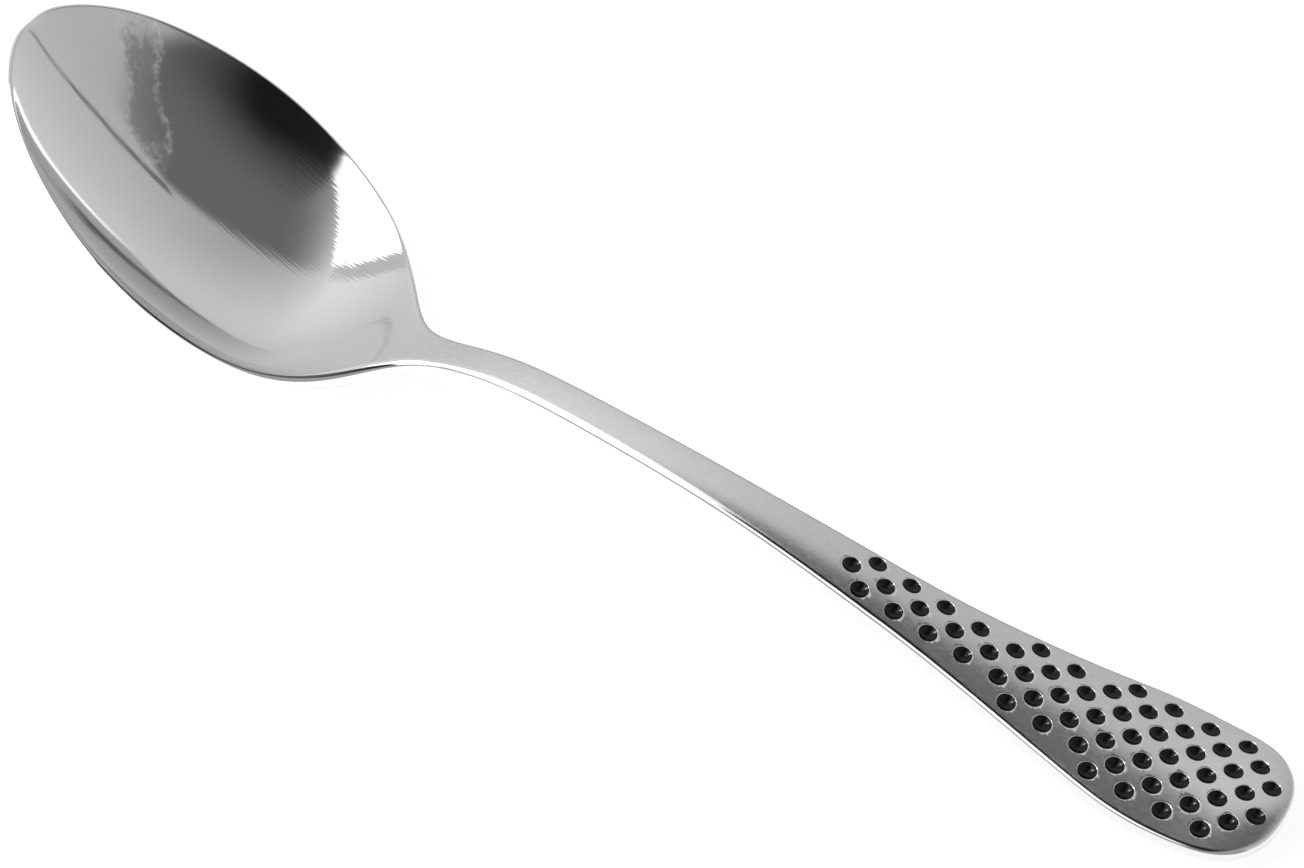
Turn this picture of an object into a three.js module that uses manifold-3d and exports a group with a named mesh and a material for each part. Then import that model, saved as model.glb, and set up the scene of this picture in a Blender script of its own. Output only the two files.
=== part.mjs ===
// Coffee spoon: a one-piece steel body whose handle has round dimples filled with black enamel.
// Millimetres, +Z up. The bowl's tip points to -X, the handle's end to +X, and the spoon lies
// on z = 0 as it does on a table: on the back of the bowl and on the underside of the handle.

import * as THREE from 'three';
import { LoftGeometry } from 'three/addons/geometries/LoftGeometry.js';
import { mergeVertices } from 'three/addons/utils/BufferGeometryUtils.js';
import Module from 'manifold-3d';

const wasm = await Module();
wasm.setup();

// Outline seen from above, as pull points of a smooth curve: distance from the tip, half width
const OUTLINE = [
  [0, 0], [-0.4, 2.9], [4.6, 10.3], [15.9, 15.1], [25.1, 15.3], [34.1, 12.9], [39.8, 6.9],
  [43.6, 2], [49.7, 2], [59.3, 2.1], [78.9, 2.4], [91.5, 3.4], [100, 4], [113.7, 6.5],
  [119.5, 7.8], [125.3, 7.7], [130.2, 7.2], [133, 3.8], [133.3, 0],
];

// Side view of the upper edge, as pull points: distance from the tip, height over the table
const EDGE_LINE = [
  [-2, 21.6], [8, 16.8], [18, 12.1], [27, 7.9], [34, 4.8], [38.5, 3.6], [43, 4.5], [48, 6.5],
  [54, 8.1], [63, 8], [78, 7.2], [94, 4.7], [108, 2.6], [119, 1.5], [128, 1.6], [136, 3.6],
];

// Bowl
const BOWL_HALF_WIDTH = 15.1;
const BOWL_DEPTH = 6;
const BOWL_FULLNESS = 0.9;
const BOWL_FLOOR_EXTRA = 0.25;
const LIP_WIDTH = 0.45;

// At the neck the bowl's floor and back fade out, and its thin edge becomes the handle's thick one
const FLOOR_FADES = [31, 62];
const BACK_FADES = [33, 50];
const EDGE_THICKENS = [30, 42];

// Steel thickness at the edge, and the rounding of the upper and lower edge: bowl, handle, its end
const EDGE_THICKNESS = [0.75, 1.7, 1.25];
const UPPER_ROUNDING = [0.25, 0.7, 0.45];
const LOWER_ROUNDING = [0.25, 0.4, 0.4];
const END_THINS_FROM = 108;

// Handle: its upper face is crowned by a share of its half width, and its underside a little
const CROWN_BY_WIDTH = 0.09;
const CROWN_POWER = 2.6;
const UNDERSIDE_CROWN = 0.25;

// Dimples: rows a pitch apart along and across, every second place filled
const ROW_PITCH = 1.8;
const PATTERN_CENTRE = 110.2;
const PATTERN_LAST_ROW = 23;
const DIMPLE_RADIUS = 0.86;
const DIMPLE_DEPTH = 0.5;
const DIMPLE_SIDES = 12;
const SHOULDER = { radiusShare: 0.7, depthShare: 0.75 };
const ENAMEL_GAP = 0.04;
const ENAMEL_BELOW_STEEL = 0.06;
const ENAMEL_DISH = 0.12;

// Bands of the pattern: rows off the middle line, first and last place along the handle
const DIMPLE_BANDS = [
  { off: 0, first: 0, last: 22 },
  { off: 1, first: 1, last: 23 },
  { off: 2, first: 10, last: 22 },
  { off: 3, first: 15, last: 21 },
];

// Mesh fineness
const CURVE_STEPS = 24;
const FIRST_SECTION = 0.02;
const END_SECTIONS = 9;
const END_LENGTH = 6;
const SECTION_STEP = 2;
const UPPER_POINTS = 18;
const LOWER_POINTS = 14;
const WELD_DISTANCE = 1e-5;
const WALK_STEP = 0.05;
const SLOPE_STEP = 0.4;

const { min, max, sqrt, hypot, cos, PI } = Math;

// A uniform cubic B-spline: each stretch is drawn by four neighbouring pull points
function smoothCurve(points) {
  const stretches = points.length - 3;
  const curve = [];
  for (let k = 0; k <= stretches * CURVE_STEPS; k++) {
    const stretch = min(Math.floor(k / CURVE_STEPS), stretches - 1);
    const t = k / CURVE_STEPS - stretch;
    const weights = [
      (1 - t) ** 3,
      3 * t ** 3 - 6 * t ** 2 + 4,
      -3 * t ** 3 + 3 * t ** 2 + 3 * t + 1,
      t ** 3,
    ];
    const point = new THREE.Vector2();
    weights.forEach((weight, n) => {
      const [x, y] = points[stretch + n];
      point.add(new THREE.Vector2(x, y).multiplyScalar(weight / 6));
    });
    curve.push(point);
  }
  return curve;
}

// The outline crosses the middle line squarely at both ends, so its ends are mirrored
function mirroredEnds(points) {
  const [first, last] = [points[1], points.at(-2)];
  return [[first[0], -first[1]], ...points, [last[0], -last[1]]];
}

function heightAt(curve, x) {
  let i = 1;
  while (i < curve.length - 1 && curve[i].x < x) i++;
  const [a, b] = [curve[i - 1], curve[i]];
  return a.y + (b.y - a.y) * (x - a.x) / (b.x - a.x);
}

const outline = smoothCurve(mirroredEnds(OUTLINE));
const edgeLine = smoothCurve(EDGE_LINE);
const TIP = outline[0].x;
const END = outline.at(-1).x;
const MIDDLE = (TIP + END) / 2;

const halfWidth = (x) => max(heightAt(outline, x), 0.01);
const edgeHeight = (x) => heightAt(edgeLine, x);

function ramp([start, end], x) {
  const t = min(max((x - start) / (end - start), 0), 1);
  return t * t * (3 - 2 * t);
}

function mix([bowl, handle, end], x) {
  const along = bowl + (handle - bowl) * ramp(EDGE_THICKENS, x);
  return along + (end - handle) * ramp([END_THINS_FROM, END], x);
}

function distanceToOutline(x, y) {
  const side = Math.abs(y);
  let least = Infinity;
  for (let i = 1; i < outline.length; i++) {
    const [a, b] = [outline[i - 1], outline[i]];
    const [dx, dy] = [b.x - a.x, b.y - a.y];
    const t = min(max(((x - a.x) * dx + (side - a.y) * dy) / (dx * dx + dy * dy), 0), 1);
    least = min(least, hypot(x - a.x - t * dx, side - a.y - t * dy));
  }
  return least;
}

// How far a rounded edge falls away at a distance in from the outline
function edgeFall(distance, radius) {
  const inward = min(distance, radius);
  return radius - sqrt(radius ** 2 - (radius - inward) ** 2);
}

// A hollow is deepest at the bowl's widest place and ends where its own outline ends
function hollow(halfWidthThere, y, depth) {
  const part = max(halfWidthThere ** 2 - y ** 2, 0) / BOWL_HALF_WIDTH ** 2;
  return depth * part ** BOWL_FULLNESS;
}

function upperHeight(x, y) {
  const width = halfWidth(x);
  const share = ramp(FLOOR_FADES, x);
  const crown = CROWN_BY_WIDTH * width * (1 - (Math.abs(y) / width) ** CROWN_POWER);
  const dished = hollow(max(width - LIP_WIDTH, 0), y, BOWL_DEPTH);
  const fall = edgeFall(distanceToOutline(x, y), mix(UPPER_ROUNDING, x));
  return edgeHeight(x) + share * crown - (1 - share) * dished - fall;
}

function lowerHeight(x, y) {
  const width = halfWidth(x);
  const share = ramp(BACK_FADES, x);
  const crown = UNDERSIDE_CROWN * (1 - (y / width) ** 2);
  const belly = hollow(width, y, BOWL_DEPTH + BOWL_FLOOR_EXTRA);
  const fall = edgeFall(distanceToOutline(x, y), mix(LOWER_ROUNDING, x));
  return edgeHeight(x) - mix(EDGE_THICKNESS, x) - share * crown - (1 - share) * belly + fall;
}

// Places of the cross sections: close together at both round ends, evenly spaced between
function sectionPlaces() {
  const fromEnd = (k) => FIRST_SECTION + END_LENGTH * (1 - cos(PI / 2 * k / END_SECTIONS));
  const places = [];
  for (let k = 0; k < END_SECTIONS; k++) places.push(TIP + fromEnd(k));
  const steps = Math.round((END - TIP - 2 * END_LENGTH) / SECTION_STEP);
  for (let k = 0; k <= steps; k++) {
    places.push(TIP + END_LENGTH + (END - TIP - 2 * END_LENGTH) * k / steps);
  }
  for (let k = END_SECTIONS - 1; k >= 0; k--) places.push(END - fromEnd(k));
  return places;
}

function sectionPoints(x) {
  const width = halfWidth(x);
  const points = [];
  for (let k = 0; k <= UPPER_POINTS; k++) {
    const y = width * cos(PI * k / UPPER_POINTS);
    points.push(new THREE.Vector3(x - MIDDLE, y, upperHeight(x, y)));
  }
  for (let k = 0; k <= LOWER_POINTS; k++) {
    const y = -width * cos(PI * k / LOWER_POINTS);
    points.push(new THREE.Vector3(x - MIDDLE, y, lowerHeight(x, y)));
  }
  return points;
}

function solidOf(shape) {
  const geometry = new THREE.BufferGeometry().copy(shape);
  geometry.deleteAttribute('normal');
  geometry.deleteAttribute('uv');
  const merged = mergeVertices(geometry, WELD_DISTANCE);
  return new wasm.Manifold(new wasm.Mesh({
    numProp: 3,
    vertProperties: new Float32Array(merged.attributes.position.array),
    triVerts: new Uint32Array(merged.index.array),
  }));
}

function geometryOf(solid) {
  const mesh = solid.getMesh();
  const geometry = new THREE.BufferGeometry();
  geometry.setAttribute('position', new THREE.BufferAttribute(mesh.vertProperties, 3));
  geometry.setIndex(new THREE.BufferAttribute(mesh.triVerts, 1));
  geometry.computeVertexNormals();
  return geometry;
}

// Where along the handle a dimple lies: the pitch is measured on the curved upper face
function placeAlong(row) {
  const wanted = (row - PATTERN_LAST_ROW / 2) * ROW_PITCH;
  let x = PATTERN_CENTRE;
  let travelled = 0;
  while (travelled < Math.abs(wanted)) {
    const next = x + Math.sign(wanted) * WALK_STEP;
    travelled += hypot(WALK_STEP, upperHeight(next, 0) - upperHeight(x, 0));
    x = next;
  }
  return x;
}

function dimplePlaces() {
  const places = [];
  for (const { off, first, last } of DIMPLE_BANDS) {
    for (let row = first; row <= last; row += 2) {
      const x = placeAlong(row);
      const sides = off === 0 ? [0] : [-off, off];
      for (const side of sides) places.push({ x, y: side * ROW_PITCH });
    }
  }
  return places.sort((a, b) => a.x - b.x || a.y - b.y);
}

// The frame of a dimple: on the upper face, its axis square to the face
function dimpleFrame({ x, y }) {
  const riseAlong = upperHeight(x + SLOPE_STEP, y) - upperHeight(x - SLOPE_STEP, y);
  const riseAcross = upperHeight(x, y + SLOPE_STEP) - upperHeight(x, y - SLOPE_STEP);
  const [slopeX, slopeY] = [riseAlong / (2 * SLOPE_STEP), riseAcross / (2 * SLOPE_STEP)];
  const normal = new THREE.Vector3(-slopeX, -slopeY, 1).normalize();
  const position = new THREE.Vector3(x - MIDDLE, y, upperHeight(x, y));
  const turn = new THREE.Quaternion().setFromUnitVectors(new THREE.Vector3(0, 0, 1), normal);
  return { position, turn };
}

// The round dish from its floor's middle to the shoulder of its wall, with a gap for the enamel
function dishProfile(gap) {
  return [
    new THREE.Vector2(0, gap - DIMPLE_DEPTH),
    new THREE.Vector2(
      SHOULDER.radiusShare * DIMPLE_RADIUS - gap,
      gap - SHOULDER.depthShare * DIMPLE_DEPTH,
    ),
  ];
}

// A lathe turns about Y, and the dish stands on Z
function lathe(profile) {
  return new THREE.LatheGeometry(profile, DIMPLE_SIDES).rotateX(PI / 2);
}

function dimpleCutter({ position, turn }) {
  const above = DIMPLE_DEPTH;
  const profile = [
    ...dishProfile(0),
    new THREE.Vector2(DIMPLE_RADIUS, 0),
    new THREE.Vector2(DIMPLE_RADIUS, above),
    new THREE.Vector2(0, above),
  ];
  const matrix = new THREE.Matrix4().compose(position, turn, new THREE.Vector3(1, 1, 1));
  return lathe(profile).applyMatrix4(matrix);
}

function enamelGeometry() {
  const rim = DIMPLE_RADIUS - ENAMEL_GAP;
  const profile = [
    ...dishProfile(ENAMEL_GAP),
    new THREE.Vector2(rim, -ENAMEL_BELOW_STEEL),
    new THREE.Vector2(0, -ENAMEL_BELOW_STEEL - ENAMEL_DISH),
  ];
  return lathe(profile);
}

// The lowest places come out just under the table's height, and this slab cuts them to flats
function tableSlab() {
  const length = END - TIP;
  return new THREE.BoxGeometry(2 * length, length, length).translate(0, 0, -length / 2);
}

function bodyGeometry(sections, frames) {
  const blank = new LoftGeometry(sections, { closed: true, capStart: true, capEnd: true });
  let body = solidOf(blank);
  for (const frame of frames) body = body.subtract(solidOf(dimpleCutter(frame)));
  return geometryOf(body.subtract(solidOf(tableSlab())));
}

const sections = sectionPlaces().map(sectionPoints);
const frames = dimplePlaces().map(dimpleFrame);

const steel = new THREE.MeshStandardMaterial({ color: 0xc9c9c8, roughness: 0.22, metalness: 1 });
const enamel = new THREE.MeshStandardMaterial({ color: 0x0b0b0c, roughness: 0.15, metalness: 0 });

const spoon = new THREE.Group();

const body = new THREE.Mesh(bodyGeometry(sections, frames), steel);
body.name = 'spoon_body';
spoon.add(body);

frames.forEach(({ position, turn }, index) => {
  const fill = new THREE.Mesh(enamelGeometry(), enamel);
  fill.name = `enamel_fill_${String(index + 1).padStart(2, '0')}`;
  fill.position.copy(position);
  fill.quaternion.copy(turn);
  spoon.add(fill);
});

export default spoon;
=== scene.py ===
"""Coffee spoon: a polished steel bowl, a satin handle, and dimples filled with black enamel.

Shapes are worked out in millimetres, with x measured from the bowl's tip, and end up in metres.
"""

import math

import bmesh
import bpy
import numpy as np
from mathutils import Matrix, Vector


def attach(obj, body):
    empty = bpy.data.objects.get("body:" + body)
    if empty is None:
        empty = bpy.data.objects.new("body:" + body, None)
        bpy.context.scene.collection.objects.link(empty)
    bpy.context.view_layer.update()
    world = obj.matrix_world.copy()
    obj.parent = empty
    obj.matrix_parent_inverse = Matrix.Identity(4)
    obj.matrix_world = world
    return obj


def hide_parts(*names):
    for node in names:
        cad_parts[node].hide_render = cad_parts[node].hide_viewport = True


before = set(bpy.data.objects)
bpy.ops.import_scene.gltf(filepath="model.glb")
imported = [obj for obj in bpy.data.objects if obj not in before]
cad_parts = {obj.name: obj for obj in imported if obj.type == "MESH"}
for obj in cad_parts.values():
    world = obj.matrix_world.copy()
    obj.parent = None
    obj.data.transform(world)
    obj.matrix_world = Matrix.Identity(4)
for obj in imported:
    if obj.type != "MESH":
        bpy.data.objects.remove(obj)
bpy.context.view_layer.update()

METRES = 0.001
SCENE = bpy.context.scene
SCENE.view_settings.view_transform = "Standard"


# Camera

CAMERA_PLACE = (0.08151198136, -0.19547440744, 0.23293348728)
CAMERA_RIGHT = (0.85821999, 0.49685012, 0.1288348)
CAMERA_UP = (-0.44341145, 0.59122879, 0.67367262)
CAMERA_BACK = (0.25854348, -0.63528614, 0.7277134)
CAMERA_LENS = 94.7532
SENSOR_WIDTH = 36.0
CAMERA_REACH = (0.01, 20.0)


def add_camera():
    data = bpy.data.cameras.new("camera")
    data.lens = CAMERA_LENS
    data.sensor_fit = "HORIZONTAL"
    data.sensor_width = SENSOR_WIDTH
    data.clip_start, data.clip_end = CAMERA_REACH
    camera = bpy.data.objects.new("camera", data)
    turn = Matrix((CAMERA_RIGHT, CAMERA_UP, CAMERA_BACK)).transposed().to_4x4()
    camera.matrix_world = Matrix.Translation(CAMERA_PLACE) @ turn
    SCENE.collection.objects.link(camera)
    SCENE.camera = camera


add_camera()


# The spoon's curves

# Outline seen from above, as pull points of a smooth curve: distance from the tip, half width
OUTLINE = [
    (0, 0), (-0.4, 2.9), (4.6, 10.3), (15.9, 15.1), (25.1, 15.3), (34.1, 12.9), (39.8, 6.9),
    (43.6, 2), (49.7, 2), (59.3, 2.1), (78.9, 2.4), (91.5, 3.4), (100, 4), (113.7, 6.5),
    (119.5, 7.8), (125.3, 7.7), (130.2, 7.2), (133, 3.8), (133.3, 0),
]

# Side view of the upper edge, as pull points: distance from the tip, height over the table
EDGE_LINE = [
    (-2, 21.6), (8, 16.8), (18, 12.1), (27, 7.9), (34, 4.8), (38.5, 3.6), (43, 4.5), (48, 6.5),
    (54, 8.1), (63, 8), (78, 7.2), (94, 4.7), (108, 2.6), (119, 1.5), (128, 1.6), (136, 3.6),
]

BOWL_HALF_WIDTH = 15.1
BOWL_DEPTH = 6
BOWL_FULLNESS = 0.9
BOWL_FLOOR_EXTRA = 0.25
LIP_WIDTH = 0.3
LIP_MARGIN = 0.01
LIP_SOFTNESS = 0.008
LEAST_HALF_WIDTH = 0.01
NOT_ZERO = 1e-12

# Distances from the tip over which the bowl gives way to the handle
FLOOR_FADES = (31, 62)
BACK_FADES = (33, 50)
EDGE_THICKENS = (30, 42)
END_THINS_FROM = 108

# Values for the bowl, the handle and the handle's end
EDGE_THICKNESS = (0.75, 1.7, 1.25)
UPPER_ROUNDING = (0.25, 0.7, 0.45)
LOWER_ROUNDING = (0.25, 0.4, 0.4)

CROWN_BY_WIDTH = 0.12
CROWN_POWER = 2.0
UNDERSIDE_CROWN = 0.25
REST_SOFTNESS = 0.02

CURVE_STEPS = 300


def smooth_curve(points):
    """A uniform cubic B-spline: each stretch is drawn by four neighbouring pull points."""
    points = np.array(points, float)
    t = np.arange(CURVE_STEPS) / CURVE_STEPS
    weights = np.stack([
        (1 - t) ** 3,
        3 * t ** 3 - 6 * t ** 2 + 4,
        -3 * t ** 3 + 3 * t ** 2 + 3 * t + 1,
        t ** 3,
    ]).T / 6
    stretches = [weights @ points[k:k + 4] for k in range(len(points) - 3)]
    end = (points[-3] + 4 * points[-2] + points[-1]) / 6
    return np.vstack(stretches + [end])


def mirrored_ends(points):
    first, last = points[1], points[-2]
    return [(first[0], -first[1]), *points, (last[0], -last[1])]


def follow(curve, x):
    """The curve's second value at x, carried on straight beyond its ends."""
    xs, ys = curve.T
    inside = np.interp(x, np.maximum.accumulate(xs), ys)
    before = (ys[1] - ys[0]) / (xs[1] - xs[0]) * np.minimum(x - xs[0], 0)
    after = (ys[-1] - ys[-2]) / (xs[-1] - xs[-2]) * np.maximum(x - xs[-1], 0)
    return inside + before + after


outline = smooth_curve(mirrored_ends(OUTLINE))
edge_line = smooth_curve(EDGE_LINE)
TIP, END = outline[0, 0], outline[-1, 0]
MIDDLE = (TIP + END) / 2
outline_x = np.maximum.accumulate(outline[:, 0])


def ramp(ends, x):
    t = np.clip((x - ends[0]) / (ends[1] - ends[0]), 0, 1)
    return t * t * (3 - 2 * t)


def mix(values, x):
    """What the bowl, the handle and the handle's end have, blended at x."""
    bowl, handle, end = values
    along = bowl + (handle - bowl) * ramp(EDGE_THICKENS, x)
    return along + (end - handle) * ramp((END_THINS_FROM, END), x)


def half_width(x):
    return np.maximum(np.interp(x, outline_x, outline[:, 1]), LEAST_HALF_WIDTH)


def edge_fall(distance, radius):
    """How far a face falls at its rounded edge, by the distance from the outline."""
    inward = np.minimum(distance, radius)
    return radius - np.sqrt(radius ** 2 - (radius - inward) ** 2)


def hollow(half_width_there, y, depth, softness=0.0):
    """How deep a bowl is at y, where its half width is the one given."""
    part = np.maximum(half_width_there ** 2 - y ** 2, 0) / BOWL_HALF_WIDTH ** 2
    part = part ** 2 / (part + softness + NOT_ZERO)
    return depth * part ** BOWL_FULLNESS


def inward_normals(points):
    along = np.gradient(points, axis=0)
    along[0], along[-1] = (0, 1), (0, -1)
    inward = np.stack([along[:, 1], -along[:, 0]], axis=1)
    return inward / np.linalg.norm(inward, axis=1, keepdims=True)


outline_in = inward_normals(outline)
lip_width = np.maximum(LIP_WIDTH, mix(UPPER_ROUNDING, outline[:, 0]))
lip_line = outline + outline_in * lip_width[:, None]
lip_x = np.maximum.accumulate(lip_line[:, 0])


def hollow_half_width(x):
    return np.where(x < lip_x[0], 0, np.interp(x, lip_x, lip_line[:, 1]))


def upper_height(x, y, distance=np.inf):
    width = half_width(x)
    share = ramp(FLOOR_FADES, x)
    crown = CROWN_BY_WIDTH * width * (1 - np.minimum(np.abs(y) / width, 1) ** CROWN_POWER)
    dished = hollow(hollow_half_width(x), y, BOWL_DEPTH, LIP_SOFTNESS)
    fall = edge_fall(distance, mix(UPPER_ROUNDING, x))
    return follow(edge_line, x) + share * crown - (1 - share) * dished - fall


def lower_height(x, y, distance=np.inf):
    width = half_width(x)
    share = ramp(BACK_FADES, x)
    crown = UNDERSIDE_CROWN * (1 - np.minimum(np.abs(y) / width, 1) ** 2)
    belly = hollow(width, y, BOWL_DEPTH + BOWL_FLOOR_EXTRA)
    fall = edge_fall(distance, mix(LOWER_ROUNDING, x))
    height = follow(edge_line, x) - mix(EDGE_THICKNESS, x) - share * crown
    height = height - (1 - share) * belly + fall
    return (height + np.sqrt(height ** 2 + REST_SOFTNESS ** 2)) / 2


# The steel body's mesh

ALONG_COUNT = 360
ROUND_STEPS = 6
WALL_STEPS = 3
LIP_STEPS = 2
UPPER_STEPS = 32
LOWER_STEPS = 18
INWARD_POWER = 1.6
MERGE_DISTANCE = 1e-5
ROW_MERGE_DISTANCE = 2e-4
SHARP_ON_BODY = math.radians(30)

# The body's middle line starts behind the tip and stops before the end, so that rows fan out
SPINE_SHIFTS = ((8.0, 12.0), (5.0, 8.0))


def arc_places(points, count):
    steps = np.linalg.norm(np.diff(points, axis=0), axis=1)
    travelled = np.concatenate([[0], np.cumsum(steps)])
    return np.interp(np.linspace(0, travelled[-1], count), travelled, np.arange(len(points)))


def pick(values, places):
    return np.stack([np.interp(places, np.arange(len(values)), v) for v in values.T], axis=1)


def spine_x(x):
    (tip_shift, tip_reach), (end_shift, end_reach) = SPINE_SHIFTS
    forward = tip_shift * np.exp(-(x - TIP) / tip_reach)
    return x + forward - end_shift * np.exp(-(END - x) / end_reach)


def body_rows():
    """Rows of points from the underside's middle line, round the edge, to the upper middle."""
    places = arc_places(outline, ALONG_COUNT)
    rim = pick(outline, places)
    inward = pick(outline_in, places)
    inward /= np.linalg.norm(inward, axis=1, keepdims=True)
    inward[0], inward[-1] = (1, 0), (-1, 0)
    spine = np.stack([spine_x(rim[:, 0]), np.zeros(len(rim))], axis=1)
    upper_round = mix(UPPER_ROUNDING, rim[:, 0])
    lower_round = mix(LOWER_ROUNDING, rim[:, 0])
    lip = np.maximum(LIP_WIDTH, upper_round) + LIP_MARGIN
    rounding = [1 - math.cos(math.pi / 2 * k / ROUND_STEPS) for k in range(ROUND_STEPS + 1)]

    def face_row(side, start, fraction):
        point = start + (spine - start) * fraction
        return np.column_stack([point, side(point[:, 0], point[:, 1])])

    def band_row(side, distance):
        point = rim + inward * distance[:, None]
        return np.column_stack([point, side(point[:, 0], point[:, 1], distance)])

    rows = []
    lower_start = rim + inward * lower_round[:, None]
    for k in range(LOWER_STEPS, 0, -1):
        rows.append(face_row(lower_height, lower_start, (k / LOWER_STEPS) ** INWARD_POWER))
    for share in reversed(rounding):
        rows.append(band_row(lower_height, lower_round * share))
    under = rows[-1]
    over = band_row(upper_height, 0 * upper_round)
    for k in range(1, WALL_STEPS):
        rows.append(under + (over - under) * k / WALL_STEPS)
    for share in rounding:
        rows.append(band_row(upper_height, upper_round * share))
    for k in range(1, LIP_STEPS):
        rows.append(band_row(upper_height, upper_round + (lip - upper_round) * k / LIP_STEPS))
    upper_start = rim + inward * lip[:, None]
    for k in range(UPPER_STEPS + 1):
        rows.append(face_row(upper_height, upper_start, (k / UPPER_STEPS) ** INWARD_POWER))
    return np.array(rows)


def new_object(name, mesh, material=None):
    piece = bpy.data.objects.new(name, mesh)
    SCENE.collection.objects.link(piece)
    if material:
        mesh.materials.append(material)
    return piece


def mesh_of(bm, name):
    mesh = bpy.data.meshes.new(name)
    bm.to_mesh(mesh)
    bm.free()
    return mesh


def shade_smooth(bm, sharpest):
    for face in bm.faces:
        face.smooth = True
    for edge in bm.edges:
        edge.smooth = edge.calc_face_angle(0) < sharpest


def body_blank():
    rows = body_rows()
    row_count, along_count = rows.shape[:2]
    bm = bmesh.new()
    bmesh.ops.create_grid(bm, x_segments=along_count - 1, y_segments=row_count - 1, size=1)
    for vert in bm.verts:
        i = round((vert.co.x + 1) / 2 * (along_count - 1))
        j = round((vert.co.y + 1) / 2 * (row_count - 1))
        x, y, z = rows[j, i]
        vert.co = (x - MIDDLE, y, z)
    half = bm.verts[:] + bm.edges[:] + bm.faces[:]
    bmesh.ops.mirror(bm, geom=half, axis="Y", merge_dist=MERGE_DISTANCE)
    bmesh.ops.remove_doubles(bm, verts=bm.verts, dist=ROW_MERGE_DISTANCE)
    wires = [edge for edge in bm.edges if edge.is_wire]
    bmesh.ops.delete(bm, geom=wires, context="EDGES")
    bmesh.ops.recalc_face_normals(bm, faces=bm.faces)
    return bm


# Dimples and enamel

# The lattice: each band has its place across, in pitches, and its first and last rows
ROW_PITCH = 1.8
PATTERN_CENTRE = 110.2
PATTERN_LAST_ROW = 23
DIMPLE_BANDS = ((0, 0, 22), (1, 1, 23), (2, 10, 22), (3, 15, 21))
WALK_STEP = 0.05
SLOPE_STEP = 0.4

DIMPLE_RADIUS = 0.86
DIMPLE_DEPTH = 0.55
DIMPLE_STEPS = 32
SHARP_ON_DISH = math.radians(40)

# Radius beyond the dimple's own, and height over the steel: the stamped edge is rounded over
STAMPED_EDGE = ((0, -0.1), (0.012, -0.055), (0.04, -0.02), (0.09, 0.003), (0.18, 0.03))
ENAMEL_GAP = 0.008
ENAMEL_RIM = -0.055
ENAMEL_DISH = 0.36
ENAMEL_STEPS = 7

# The undersides of a dimple and of its enamel, as shares of the dimple's radius and depth
DIMPLE_SHOULDER = (0.7, 0.8)
ENAMEL_SHOULDER = (0.66, 0.76)
ENAMEL_FLOOR = 0.9

# The foot of the enamel's side, as a share of the enamel's radius, and a height
ENAMEL_SIDE_FOOT = (0.98, -0.2)


def place_along(row):
    """Where a row lies, with the pitch measured along the handle's bent upper face."""
    wanted = (row - PATTERN_LAST_ROW / 2) * ROW_PITCH
    x, travelled = PATTERN_CENTRE, 0.0
    while travelled < abs(wanted):
        following = x + math.copysign(WALK_STEP, wanted)
        rise = upper_height(following, 0.0) - upper_height(x, 0.0)
        travelled += math.hypot(WALK_STEP, rise)
        x = following
    return x


def dimple_places():
    places = []
    for off, first, last in DIMPLE_BANDS:
        for row in range(first, last + 1, 2):
            x = place_along(row)
            sides = (0,) if off == 0 else (-off, off)
            places += [(x, side * ROW_PITCH) for side in sides]
    return sorted(places)


def dimple_frame(x, y):
    """Where a dimple sits, with its axis square to the upper face."""
    rise_along = upper_height(x + SLOPE_STEP, y) - upper_height(x - SLOPE_STEP, y)
    rise_across = upper_height(x, y + SLOPE_STEP) - upper_height(x, y - SLOPE_STEP)
    normal = Vector((-rise_along, -rise_across, 2 * SLOPE_STEP)).normalized()
    turn = Vector((0, 0, 1)).rotation_difference(normal).to_matrix().to_4x4()
    return Matrix.Translation((x - MIDDLE, y, upper_height(x, y))) @ turn


def turned(profile, name):
    """Spins a profile of (radius, height) into a closed shape."""
    bm = bmesh.new()
    verts = [bm.verts.new((radius, 0, height)) for radius, height in profile]
    edges = [bm.edges.new(pair) for pair in zip(verts, verts[1:])]
    bmesh.ops.spin(
        bm, geom=verts + edges, cent=(0, 0, 0), axis=(0, 0, 1), angle=2 * math.pi,
        steps=DIMPLE_STEPS, use_merge=True,
    )
    bmesh.ops.remove_doubles(bm, verts=bm.verts, dist=MERGE_DISTANCE)
    bmesh.ops.recalc_face_normals(bm, faces=bm.faces)
    shade_smooth(bm, SHARP_ON_DISH)
    return mesh_of(bm, name)


def placed(mesh, place, name):
    copy = mesh.copy()
    copy.name = name
    copy.transform(place)
    return copy


def dimple_cutters(places):
    inward, down = DIMPLE_SHOULDER
    profile = [(0, -DIMPLE_DEPTH), (DIMPLE_RADIUS * inward, -DIMPLE_DEPTH * down)]
    profile += [(DIMPLE_RADIUS + out, height) for out, height in STAMPED_EDGE]
    profile += [(DIMPLE_RADIUS + STAMPED_EDGE[-1][0], DIMPLE_DEPTH), (0, DIMPLE_DEPTH)]
    cutter = turned(profile, "dimple_cutter")
    bm = bmesh.new()
    for place in places:
        bm.from_mesh(placed(cutter, place, "dimple_cutter"))
    return new_object("dimple_cutters", mesh_of(bm, "dimple_cutters"))


def enamel_profile():
    """The dished upper face from the axis out, then the side, and the underside back in."""
    rim = DIMPLE_RADIUS - ENAMEL_GAP
    profile = []
    for k in range(ENAMEL_STEPS + 1):
        share = k / ENAMEL_STEPS
        profile.append((rim * share, ENAMEL_RIM - ENAMEL_DISH * (1 - share ** 2)))
    foot_share, foot_height = ENAMEL_SIDE_FOOT
    profile.append((rim * foot_share, foot_height))
    inward, down = ENAMEL_SHOULDER
    profile.append((DIMPLE_RADIUS * inward, -DIMPLE_DEPTH * down))
    profile.append((0, -DIMPLE_DEPTH * ENAMEL_FLOOR))
    return profile


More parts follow.
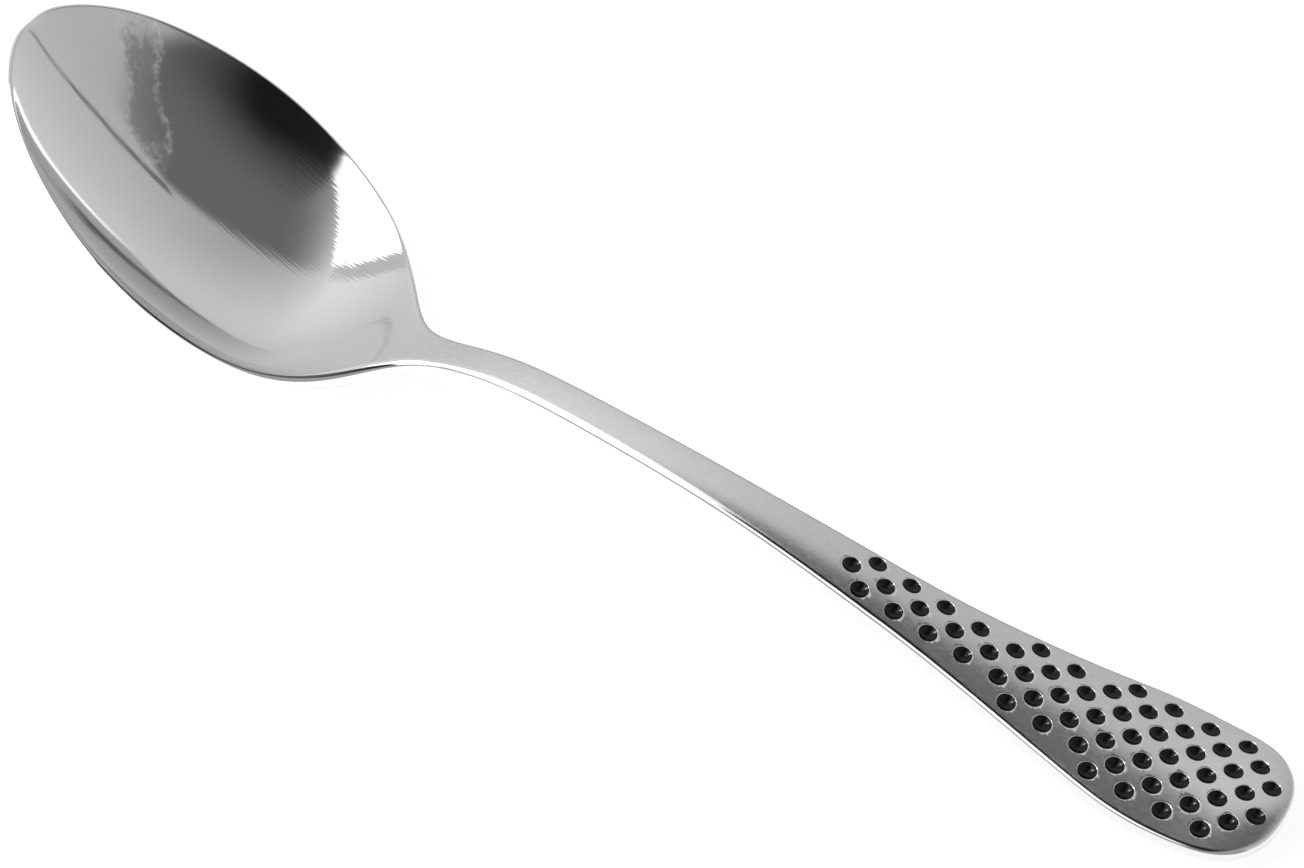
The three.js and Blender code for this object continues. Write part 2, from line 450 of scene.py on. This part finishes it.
def note_upward(mesh):
    """Stores 1 where the face is up and -1 where it is down, for finishes that end at edges."""
    upward = mesh.attributes.new("upward", "FLOAT", "POINT")
    upward.data.foreach_set("value", [vert.normal.z for vert in mesh.vertices])


def note_radius(mesh):
    """Stores how far each place is from the dish's axis, for the turned rings in the enamel."""
    radius = mesh.attributes.new("radius", "FLOAT", "POINT")
    radius.data.foreach_set("value", [math.hypot(vert.co.x, vert.co.y) for vert in mesh.vertices])


def cut(body, cutters):
    modifier = body.modifiers.new("dimples", "BOOLEAN")
    modifier.operation = "DIFFERENCE"
    modifier.solver = "EXACT"
    modifier.object = cutters
    depsgraph = bpy.context.evaluated_depsgraph_get()
    finished = bpy.data.meshes.new_from_object(body.evaluated_get(depsgraph))
    body.modifiers.clear()
    body.data = finished
    bpy.data.objects.remove(cutters)


# Shader helper

class Value:
    """A socket's value in an expression, which adds its Math nodes."""

    def __init__(self, tree, socket):
        self.tree = tree
        self.socket = socket

    def math(self, operation, *others):
        sockets = [self.socket] + [o.socket if isinstance(o, Value) else o for o in others]
        return self.tree.add("ShaderNodeMath", {"operation": operation}, dict(enumerate(sockets)))

    def __add__(self, other):
        return self.math("ADD", other)

    __radd__ = __add__

    def __mul__(self, other):
        return self.math("MULTIPLY", other)

    __rmul__ = __mul__

    def __sub__(self, other):
        return self.math("SUBTRACT", other)

    def __rsub__(self, other):
        return (self * -1) + other

    def __truediv__(self, other):
        return self.math("DIVIDE", other)

    def __pow__(self, other):
        return self.math("POWER", other)

    def clamped(self):
        return self.tree.add("ShaderNodeClamp", {}, {"Value": self.socket}, "Result")

    def ramp(self, start, end):
        """0 up to start, 1 from end on, and a smooth step between."""
        settings = {"interpolation_type": "SMOOTHSTEP"}
        inputs = {"Value": self.socket, "From Min": start, "From Max": end}
        return self.tree.add("ShaderNodeMapRange", settings, inputs, "Result")


class Tree:
    """A node tree, cleared, whose nodes are added by their type, settings and inputs."""

    def __init__(self, owner):
        owner.use_nodes = True
        self.nodes = owner.node_tree.nodes
        self.links = owner.node_tree.links
        self.nodes.clear()

    def node(self, kind, settings=None, inputs=None):
        node = self.nodes.new(kind)
        for name, value in (settings or {}).items():
            setattr(node, name, value)
        for name, value in (inputs or {}).items():
            value = value.socket if isinstance(value, Value) else value
            if isinstance(value, bpy.types.NodeSocket):
                self.links.new(value, node.inputs[name])
            else:
                node.inputs[name].default_value = value
        return node

    def add(self, kind, settings=None, inputs=None, output=0):
        return Value(self, self.node(kind, settings, inputs).outputs[output])


def grey(value):
    return (value, value, value, 1)


def blend(start, end, share):
    return start + share * (end - start)


def scaled(tree, vector, factor):
    return tree.add("ShaderNodeVectorMath", {"operation": "SCALE"}, {0: vector, "Scale": factor})


def bump(tree, height):
    return tree.add("ShaderNodeBump", {}, {"Strength": 1.0, "Distance": 1.0, "Height": height})


# Materials

# Where the steel's finish changes, in millimetres from the spoon's middle
SATIN_STARTS = (-30.0, -18.0)
DIMMING_GROWS = (-5.0, 25.0)
POLISHING_ALONG = (-52.0, -38.0)
POLISHING_ACROSS = (-7.0, 0.0)

# How squarely a face has to look up, and for the satin up or down, from none of it to all
SATIN_FACES = (0.78, 0.93)
MARK_FACES = (0.0, 0.3)

# The heights of bumps are in metres, and pitches in millimetres
STEEL_TONE = (0.77, 0.767, 0.761)
POLISHED_ROUGHNESS = 0.065
POLISHED_SPREAD = 0.05
SATIN_ROUGHNESS = 0.23
SATIN_SPREAD = 0.14
SATIN_DIMMING = (0.05, 0.17)
GRAIN_SHINE = 0.2
CLOUD_SHINE = 0.03

POLISHING_TURN = math.radians(2)
POLISHING_STRETCH = (0.15, 5.0, 0.0)
POLISHING_HEIGHT = 0.0000085
POLISHING_FAINT = 0.15
GRAIN_STRETCH = (1.6, 4.2, 4.2)
GRAIN_HEIGHT = 0.000003

# Where a dried water mark lies in the bowl, in millimetres, and how it runs
MARK_PLACE = (-57.3, 5.0, 0)
MARK_TURN = math.radians(46)
MARK_HALF_LENGTH = 5.3
MARK_HALF_WIDTH = 1.65
MARK_WOBBLE = 1.6
MARK_RAGGEDNESS = 0.5
SWIRL_STRETCH = (0.45, 2.2, 1.0)
SWIRL_CONTRAST = 2.6
SWIRL_GAPS = 0.4
FILM_DIMMING = 0.32
FILM_ROUGHNESS = 0.14
BORDER_CHALK = 0.3
BORDER_LEAST = 0.2
BORDER_PATCHES = (0.35, 0.75)

# Reaches of the mark's film and border, where 1 is the mark's own outline
FILM_FADES = (0.6, 1.3)
BORDER_RISES = (0.6, 0.95)
BORDER_FADES = (0.95, 1.3)

ENAMEL_TONE = (0.006, 0.006, 0.006)
ENAMEL_ROUGHNESS = 0.14
ENAMEL_SPREAD = 0.1
ENAMEL_SHINE = 0.2
FLECK_TONE = 1.6
FLECK_HEIGHT = 0.000002
RING_PITCH = 0.17
RING_HEIGHT = 0.0000008

# Noises, by their scale, detail and distortion
SCRATCHES = (1.0, 1.0)
GRAIN = (1.0, 4.0)
CLOUDS = (0.22, 3.0)
WOBBLE = (0.35, 3.0)
RAGGED = (1.4, 3.0, 0.6)
SWIRLS = (1.0, 3.0, 1.2)
PATCHES = (0.9, 5.0, 1.0)
FLECKS = (5.0, 3.0)


def millimetres(tree, turn=0.0, stretch=(1.0, 1.0, 1.0)):
    """Object coordinates in millimetres, turned about Z, and stretched along the new axes."""
    place = scaled(tree, tree.add("ShaderNodeTexCoord", {}, {}, "Object"), 1 / METRES)
    place = tree.add("ShaderNodeMapping", {}, {"Vector": place, "Rotation": (0, 0, turn)})
    return tree.add("ShaderNodeMapping", {}, {"Vector": place, "Scale": stretch})


def axes(tree, place):
    split = tree.node("ShaderNodeSeparateXYZ", {}, {"Vector": place})
    return [Value(tree, output) for output in split.outputs]


def noise(tree, place, scale, detail, distortion=0.0):
    """Cloudy values from 0 to 1 that average a half."""
    return tree.add("ShaderNodeTexNoise", {}, {
        "Vector": place, "Scale": scale, "Detail": detail, "Distortion": distortion,
    })


def water_mark(tree):
    """How much film dried water left at each place in the bowl, and how much chalky border."""
    place = millimetres(tree)
    shifted = tree.add("ShaderNodeVectorMath", {"operation": "SUBTRACT"}, {0: place, 1: MARK_PLACE})
    mark_place = tree.add("ShaderNodeMapping", {}, {
        "Vector": shifted, "Rotation": (0, 0, MARK_TURN),
    })
    along, across, _ = axes(tree, mark_place)
    wobble = noise(tree, place, *WOBBLE) - 0.5
    ragged = noise(tree, place, *RAGGED) - 0.5
    length = along / MARK_HALF_LENGTH
    width = across / MARK_HALF_WIDTH + wobble * MARK_WOBBLE
    reach = (length ** 4 + width ** 4) ** 0.25 + ragged * MARK_RAGGEDNESS
    swirl_place = tree.add("ShaderNodeMapping", {}, {
        "Vector": mark_place, "Scale": SWIRL_STRETCH,
    })
    swirls = noise(tree, swirl_place, *SWIRLS) * SWIRL_CONTRAST - SWIRL_GAPS
    film = (1 - reach.ramp(*FILM_FADES)) * swirls
    border = reach.ramp(*BORDER_RISES) * (1 - reach.ramp(*BORDER_FADES)) * BORDER_CHALK
    patches = BORDER_LEAST + noise(tree, place, *PATCHES).ramp(*BORDER_PATCHES)
    return film.clamped(), (border * patches).clamped()


def steel():
    material = bpy.data.materials.new("polished_and_satin_steel")
    tree = Tree(material)
    x, y, _ = axes(tree, millimetres(tree))
    upward = tree.add("ShaderNodeAttribute", {"attribute_name": "upward"}, {}, "Fac")
    satin = x.ramp(*SATIN_STARTS) * upward.math("ABSOLUTE").ramp(*SATIN_FACES)
    scratches = noise(tree, millimetres(tree, POLISHING_TURN, POLISHING_STRETCH), *SCRATCHES)
    grain = noise(tree, millimetres(tree, 0.0, GRAIN_STRETCH), *GRAIN)
    clouds = noise(tree, millimetres(tree), *CLOUDS)
    film, border = (part * upward.ramp(*MARK_FACES) for part in water_mark(tree))

    roughness = POLISHED_ROUGHNESS + (scratches - 0.5) * POLISHED_SPREAD
    roughness = roughness + (clouds - 0.5) * POLISHED_SPREAD
    satin_roughness = SATIN_ROUGHNESS + (grain - 0.5) * SATIN_SPREAD
    roughness = blend(roughness, satin_roughness, satin) + FILM_ROUGHNESS * film

    dimming = blend(*SATIN_DIMMING, x.ramp(*DIMMING_GROWS))
    shine = 1 - satin * dimming + (grain - 0.5) * satin * GRAIN_SHINE
    shine = (shine + (clouds - 0.5) * CLOUD_SHINE) * (1 - FILM_DIMMING * film)

    polishing = blend(POLISHING_FAINT, 1, x.ramp(*POLISHING_ALONG) * y.ramp(*POLISHING_ACROSS))
    height = scratches * polishing * (1 - satin) * POLISHING_HEIGHT
    height = height + grain * satin * GRAIN_HEIGHT
    shader = tree.add("ShaderNodeBsdfPrincipled", {}, {
        "Base Color": scaled(tree, STEEL_TONE, shine), "Metallic": 1 - border,
        "Roughness": roughness, "Normal": bump(tree, height),
    })
    tree.node("ShaderNodeOutputMaterial", {}, {"Surface": shader})
    return material


def enamel():
    material = bpy.data.materials.new("black_enamel")
    tree = Tree(material)
    flecks = noise(tree, millimetres(tree), *FLECKS)
    radius = tree.add("ShaderNodeAttribute", {"attribute_name": "radius"}, {}, "Fac")
    rings = (radius * (2 * math.pi / RING_PITCH)).math("SINE")
    shader = tree.add("ShaderNodeBsdfPrincipled", {}, {
        "Base Color": scaled(tree, ENAMEL_TONE, flecks * FLECK_TONE),
        "Roughness": ENAMEL_ROUGHNESS + (flecks - 0.5) * ENAMEL_SPREAD,
        "Specular IOR Level": ENAMEL_SHINE,
        "Normal": bump(tree, flecks * FLECK_HEIGHT + rings * RING_HEIGHT),
    })
    tree.node("ShaderNodeOutputMaterial", {}, {"Surface": shader})
    return material


steel_finish = steel()
enamel_finish = enamel()


# Pieces

places = [dimple_frame(x, y) for x, y in dimple_places()]

body = new_object("spoon_body_polished", mesh_of(body_blank(), "spoon_body_polished"))
cut(body, dimple_cutters(places))
bm = bmesh.new()
bm.from_mesh(body.data)
bmesh.ops.scale(bm, verts=bm.verts, vec=(METRES, METRES, METRES))
shade_smooth(bm, SHARP_ON_BODY)
body.data = mesh_of(bm, "spoon_body_polished")
body.data.materials.append(steel_finish)
note_upward(body.data)
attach(body, "root")
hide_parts("spoon_body")

dish = turned(enamel_profile(), "enamel_dish")
note_radius(dish)
for number, place in enumerate(places, 1):
    name = f"enamel_dish_{number:02d}"
    mesh = placed(dish, Matrix.Scale(METRES, 4) @ place, name)
    piece = new_object(name, mesh, enamel_finish)
    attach(piece, "root")
    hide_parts(f"enamel_fill_{number:02d}")


# Table and light

# A share of what the camera and the reflections see of the table is a glow of its own, and the
# rest is lamplight. Reflected, the glow is strong before the spoon and weak behind it.
TABLE_SIZE = 3.0
TABLE_COLOUR = 0.95
TABLE_GLOW = 1.1
TABLE_GLOW_SHARE = 0.8
REFLECTED_GLOW = (1.6, 0.15)
REFLECTED_GLOW_SHARE = 0.5
REFLECTED_GLOW_FADES = (0.005, 0.035)

# The studio as seen from above, in metres. Each card glows with painted light at its tone instead
# of being lit, and has its corners, and a corner also gives how soft the side is that starts there.
LAMP_HEIGHT = 0.30
CARD_HEIGHT = 0.20
SOFTBOX_CORNER = (-0.042, 0.03)
SOFTBOX_SIZE = (0.7, 0.74)
SOFTBOX_STRENGTH = 1.4
BULB_PLACE = (-0.223, -0.124)
BULB_SIZE = (0.12, 0.06)
BULB_BELOW = 0.002
BULB_STRENGTH = 36.0
LAMPS_TURN = math.radians(18)
SHEET_SIZE = 1
GLOWING_CARDS = (
    (0.6, (
        (-0.307, -0.067, 0.003), (-0.044, 0.019, 0.003), (-0.051, 0.042, 0.004),
        (-0.314, 0.006, 0.007),
    )),
    (0.16, (
        (0.075, 0.17, 0.003), (0.083, 0.162, 0.003), (0.253, 0.327, 0.003), (0.251, 0.329, 0.003),
    )),
    (0.155, (
        (0.053, -0.465, 0.033), (0.159, -0.465, 0.033), (0.133, 0.002, 0.033),
        (0.106, 0.149, 0.013), (0.086, 0.161, 0.02), (-0.022, 0.062, 0.062),
    )),
    (0.012, (
        (-0.034, -0.218, 0.067), (0.13, -0.218, 0.1), (0.13, -0.08, 0.12), (0.086, 0.0, 0.1),
        (0.001, -0.05, 0.009),
    )),
)

# What surrounds the studio, by direction, so each pair of ends is a part of a unit vector. A
# wall has its level at the horizon and what it gains up to straight overhead.
WALL_LEFT = (0.58, 0.36)
WALL_RIGHT = (0.79, -0.42)
WALLS_MEET = (-0.22, 0.32)
FAR_END = (0.75, 0.9)
HORIZON_WHITE = 1.5
HORIZON_GREY = 0.42
SKYLINE = (0.17, 0.055)
SKYLINE_FALLS = (0.09, 0.2)
SKYLINE_SOFTNESS = 0.006
WHITE_STRIP_FADES = (0.035, 0.055)
WHITE_STRIP_STARTS = (0.1, 0.16)
ROOM_STARTS = (-0.35, -0.2)
ROOM_LEVELS = (0.6, 0.4)
ROOM_CHANGES = (-0.4, -0.05)


def table():
    bm = bmesh.new()
    bmesh.ops.create_grid(bm, x_segments=1, y_segments=1, size=TABLE_SIZE)
    floor = new_object("table", mesh_of(bm, "table"))
    material = bpy.data.materials.new("pale_table")
    tree = Tree(material)
    matt = tree.add("ShaderNodeBsdfDiffuse", {}, {"Color": grey(TABLE_COLOUR)})
    rays = tree.node("ShaderNodeLightPath").outputs
    camera, glossy, through = (
        Value(tree, rays[name])
        for name in ("Is Camera Ray", "Is Glossy Ray", "Is Transmission Ray")
    )
    _, y, _ = axes(tree, tree.add("ShaderNodeTexCoord", {}, {}, "Object"))
    reflected = blend(*REFLECTED_GLOW, y.ramp(*REFLECTED_GLOW_FADES))
    strength = blend(TABLE_GLOW, reflected, glossy)
    glow = tree.add("ShaderNodeEmission", {}, {"Color": grey(1.0), "Strength": strength})
    share = (camera + through) * TABLE_GLOW_SHARE + glossy * REFLECTED_GLOW_SHARE
    surface = tree.add("ShaderNodeMixShader", {}, {"Fac": share.clamped(), 1: matt, 2: glow})
    tree.node("ShaderNodeOutputMaterial", {}, {"Surface": surface})
    floor.data.materials.append(material)


def lamp(name, place, height, size, strength):
    """A level rectangular lamp whose face is as bright as the strength says, where 1 is white."""
    data = bpy.data.lights.new(name, "AREA")
    data.shape = "RECTANGLE"
    data.size, data.size_y = size
    data.energy = strength * math.pi * size[0] * size[1]
    piece = bpy.data.objects.new(name, data)
    piece.location = (*place, height)
    piece.rotation_euler.z = LAMPS_TURN
    piece.visible_camera = False
    SCENE.collection.objects.link(piece)


def add_lamps():
    """A softbox placed by its corner, and a small bright bulb just under it."""
    across = Matrix.Rotation(LAMPS_TURN, 2) @ Vector(SOFTBOX_SIZE)
    middle = Vector(SOFTBOX_CORNER) - across / 2
    lamp("softbox", middle, LAMP_HEIGHT, SOFTBOX_SIZE, SOFTBOX_STRENGTH)
    lamp("bulb", BULB_PLACE, LAMP_HEIGHT - BULB_BELOW, BULB_SIZE, BULB_STRENGTH)


def inside_corners(tree, corners):
    """1 inside a shape with soft sides, whose corners go round anticlockwise from above."""
    x, y, _ = axes(tree, tree.add("ShaderNodeTexCoord", {}, {}, "Object"))
    mask = None
    for (x0, y0, softness), (x1, y1, _) in zip(corners, corners[1:] + corners[:1]):
        length = math.hypot(x1 - x0, y1 - y0)
        inward = (y0 - y1) / length, (x1 - x0) / length
        distance = x * inward[0] + y * inward[1] - (x0 * inward[0] + y0 * inward[1])
        side = distance.ramp(-softness / 2, softness / 2)
        mask = side if mask is None else mask * side
    return mask


def glowing_cards():
    """Cards that glow with painted light at their tones instead of being lit, with soft sides under
    the lamps, all in one sheet that the camera doesn't see.
    """
    bm = bmesh.new()
    bmesh.ops.create_grid(bm, x_segments=1, y_segments=1, size=SHEET_SIZE)
    bmesh.ops.translate(bm, verts=bm.verts, vec=(0, 0, CARD_HEIGHT))
    sheet = new_object("glowing_cards", mesh_of(bm, "glowing_cards"))
    sheet.visible_camera = False
    material = bpy.data.materials.new("glowing_cards")
    tree = Tree(material)
    surface = tree.add("ShaderNodeBsdfTransparent", {}, {"Color": grey(1.0)})
    for tone, corners in GLOWING_CARDS:
        # each card is an emission at its tone: painted light in place of a lit grey card
        card_glow = tree.add("ShaderNodeEmission", {}, {"Color": grey(tone), "Strength": 1.0})
        mask = inside_corners(tree, corners)
        surface = tree.add("ShaderNodeMixShader", {}, {"Fac": mask, 1: surface, 2: card_glow})
    tree.node("ShaderNodeOutputMaterial", {}, {"Surface": surface})
    sheet.data.materials.append(material)


def studio_world():
    world = bpy.data.worlds.new("studio")
    SCENE.world = world
    tree = Tree(world)
    camera = Value(tree, tree.node("ShaderNodeLightPath").outputs["Is Camera Ray"])
    x, y, z = axes(tree, tree.add("ShaderNodeTexCoord", {}, {}, "Generated"))
    left, right = (level + gain * z for level, gain in (WALL_LEFT, WALL_RIGHT))
    level = blend(left, right, x.ramp(*WALLS_MEET))

    far_end = y.ramp(*FAR_END)
    above = z - blend(*SKYLINE, x.ramp(*SKYLINE_FALLS))
    strip = (1 - above.ramp(*WHITE_STRIP_FADES)) * x.ramp(*WHITE_STRIP_STARTS)
    level = blend(level, HORIZON_WHITE, strip * far_end)
    below_skyline = 1 - above.ramp(-SKYLINE_SOFTNESS, SKYLINE_SOFTNESS)
    level = blend(level, HORIZON_GREY, below_skyline * far_end)

    room = 1 - y.ramp(*ROOM_STARTS)
    level = blend(level, blend(*ROOM_LEVELS, x.ramp(*ROOM_CHANGES)), room)
    strength = camera + (1 - camera) * level
    background = tree.add("ShaderNodeBackground", {}, {"Color": grey(1.0), "Strength": strength})
    tree.node("ShaderNodeOutputWorld", {}, {"Surface": background})


table()
add_lamps()
glowing_cards()
studio_world()
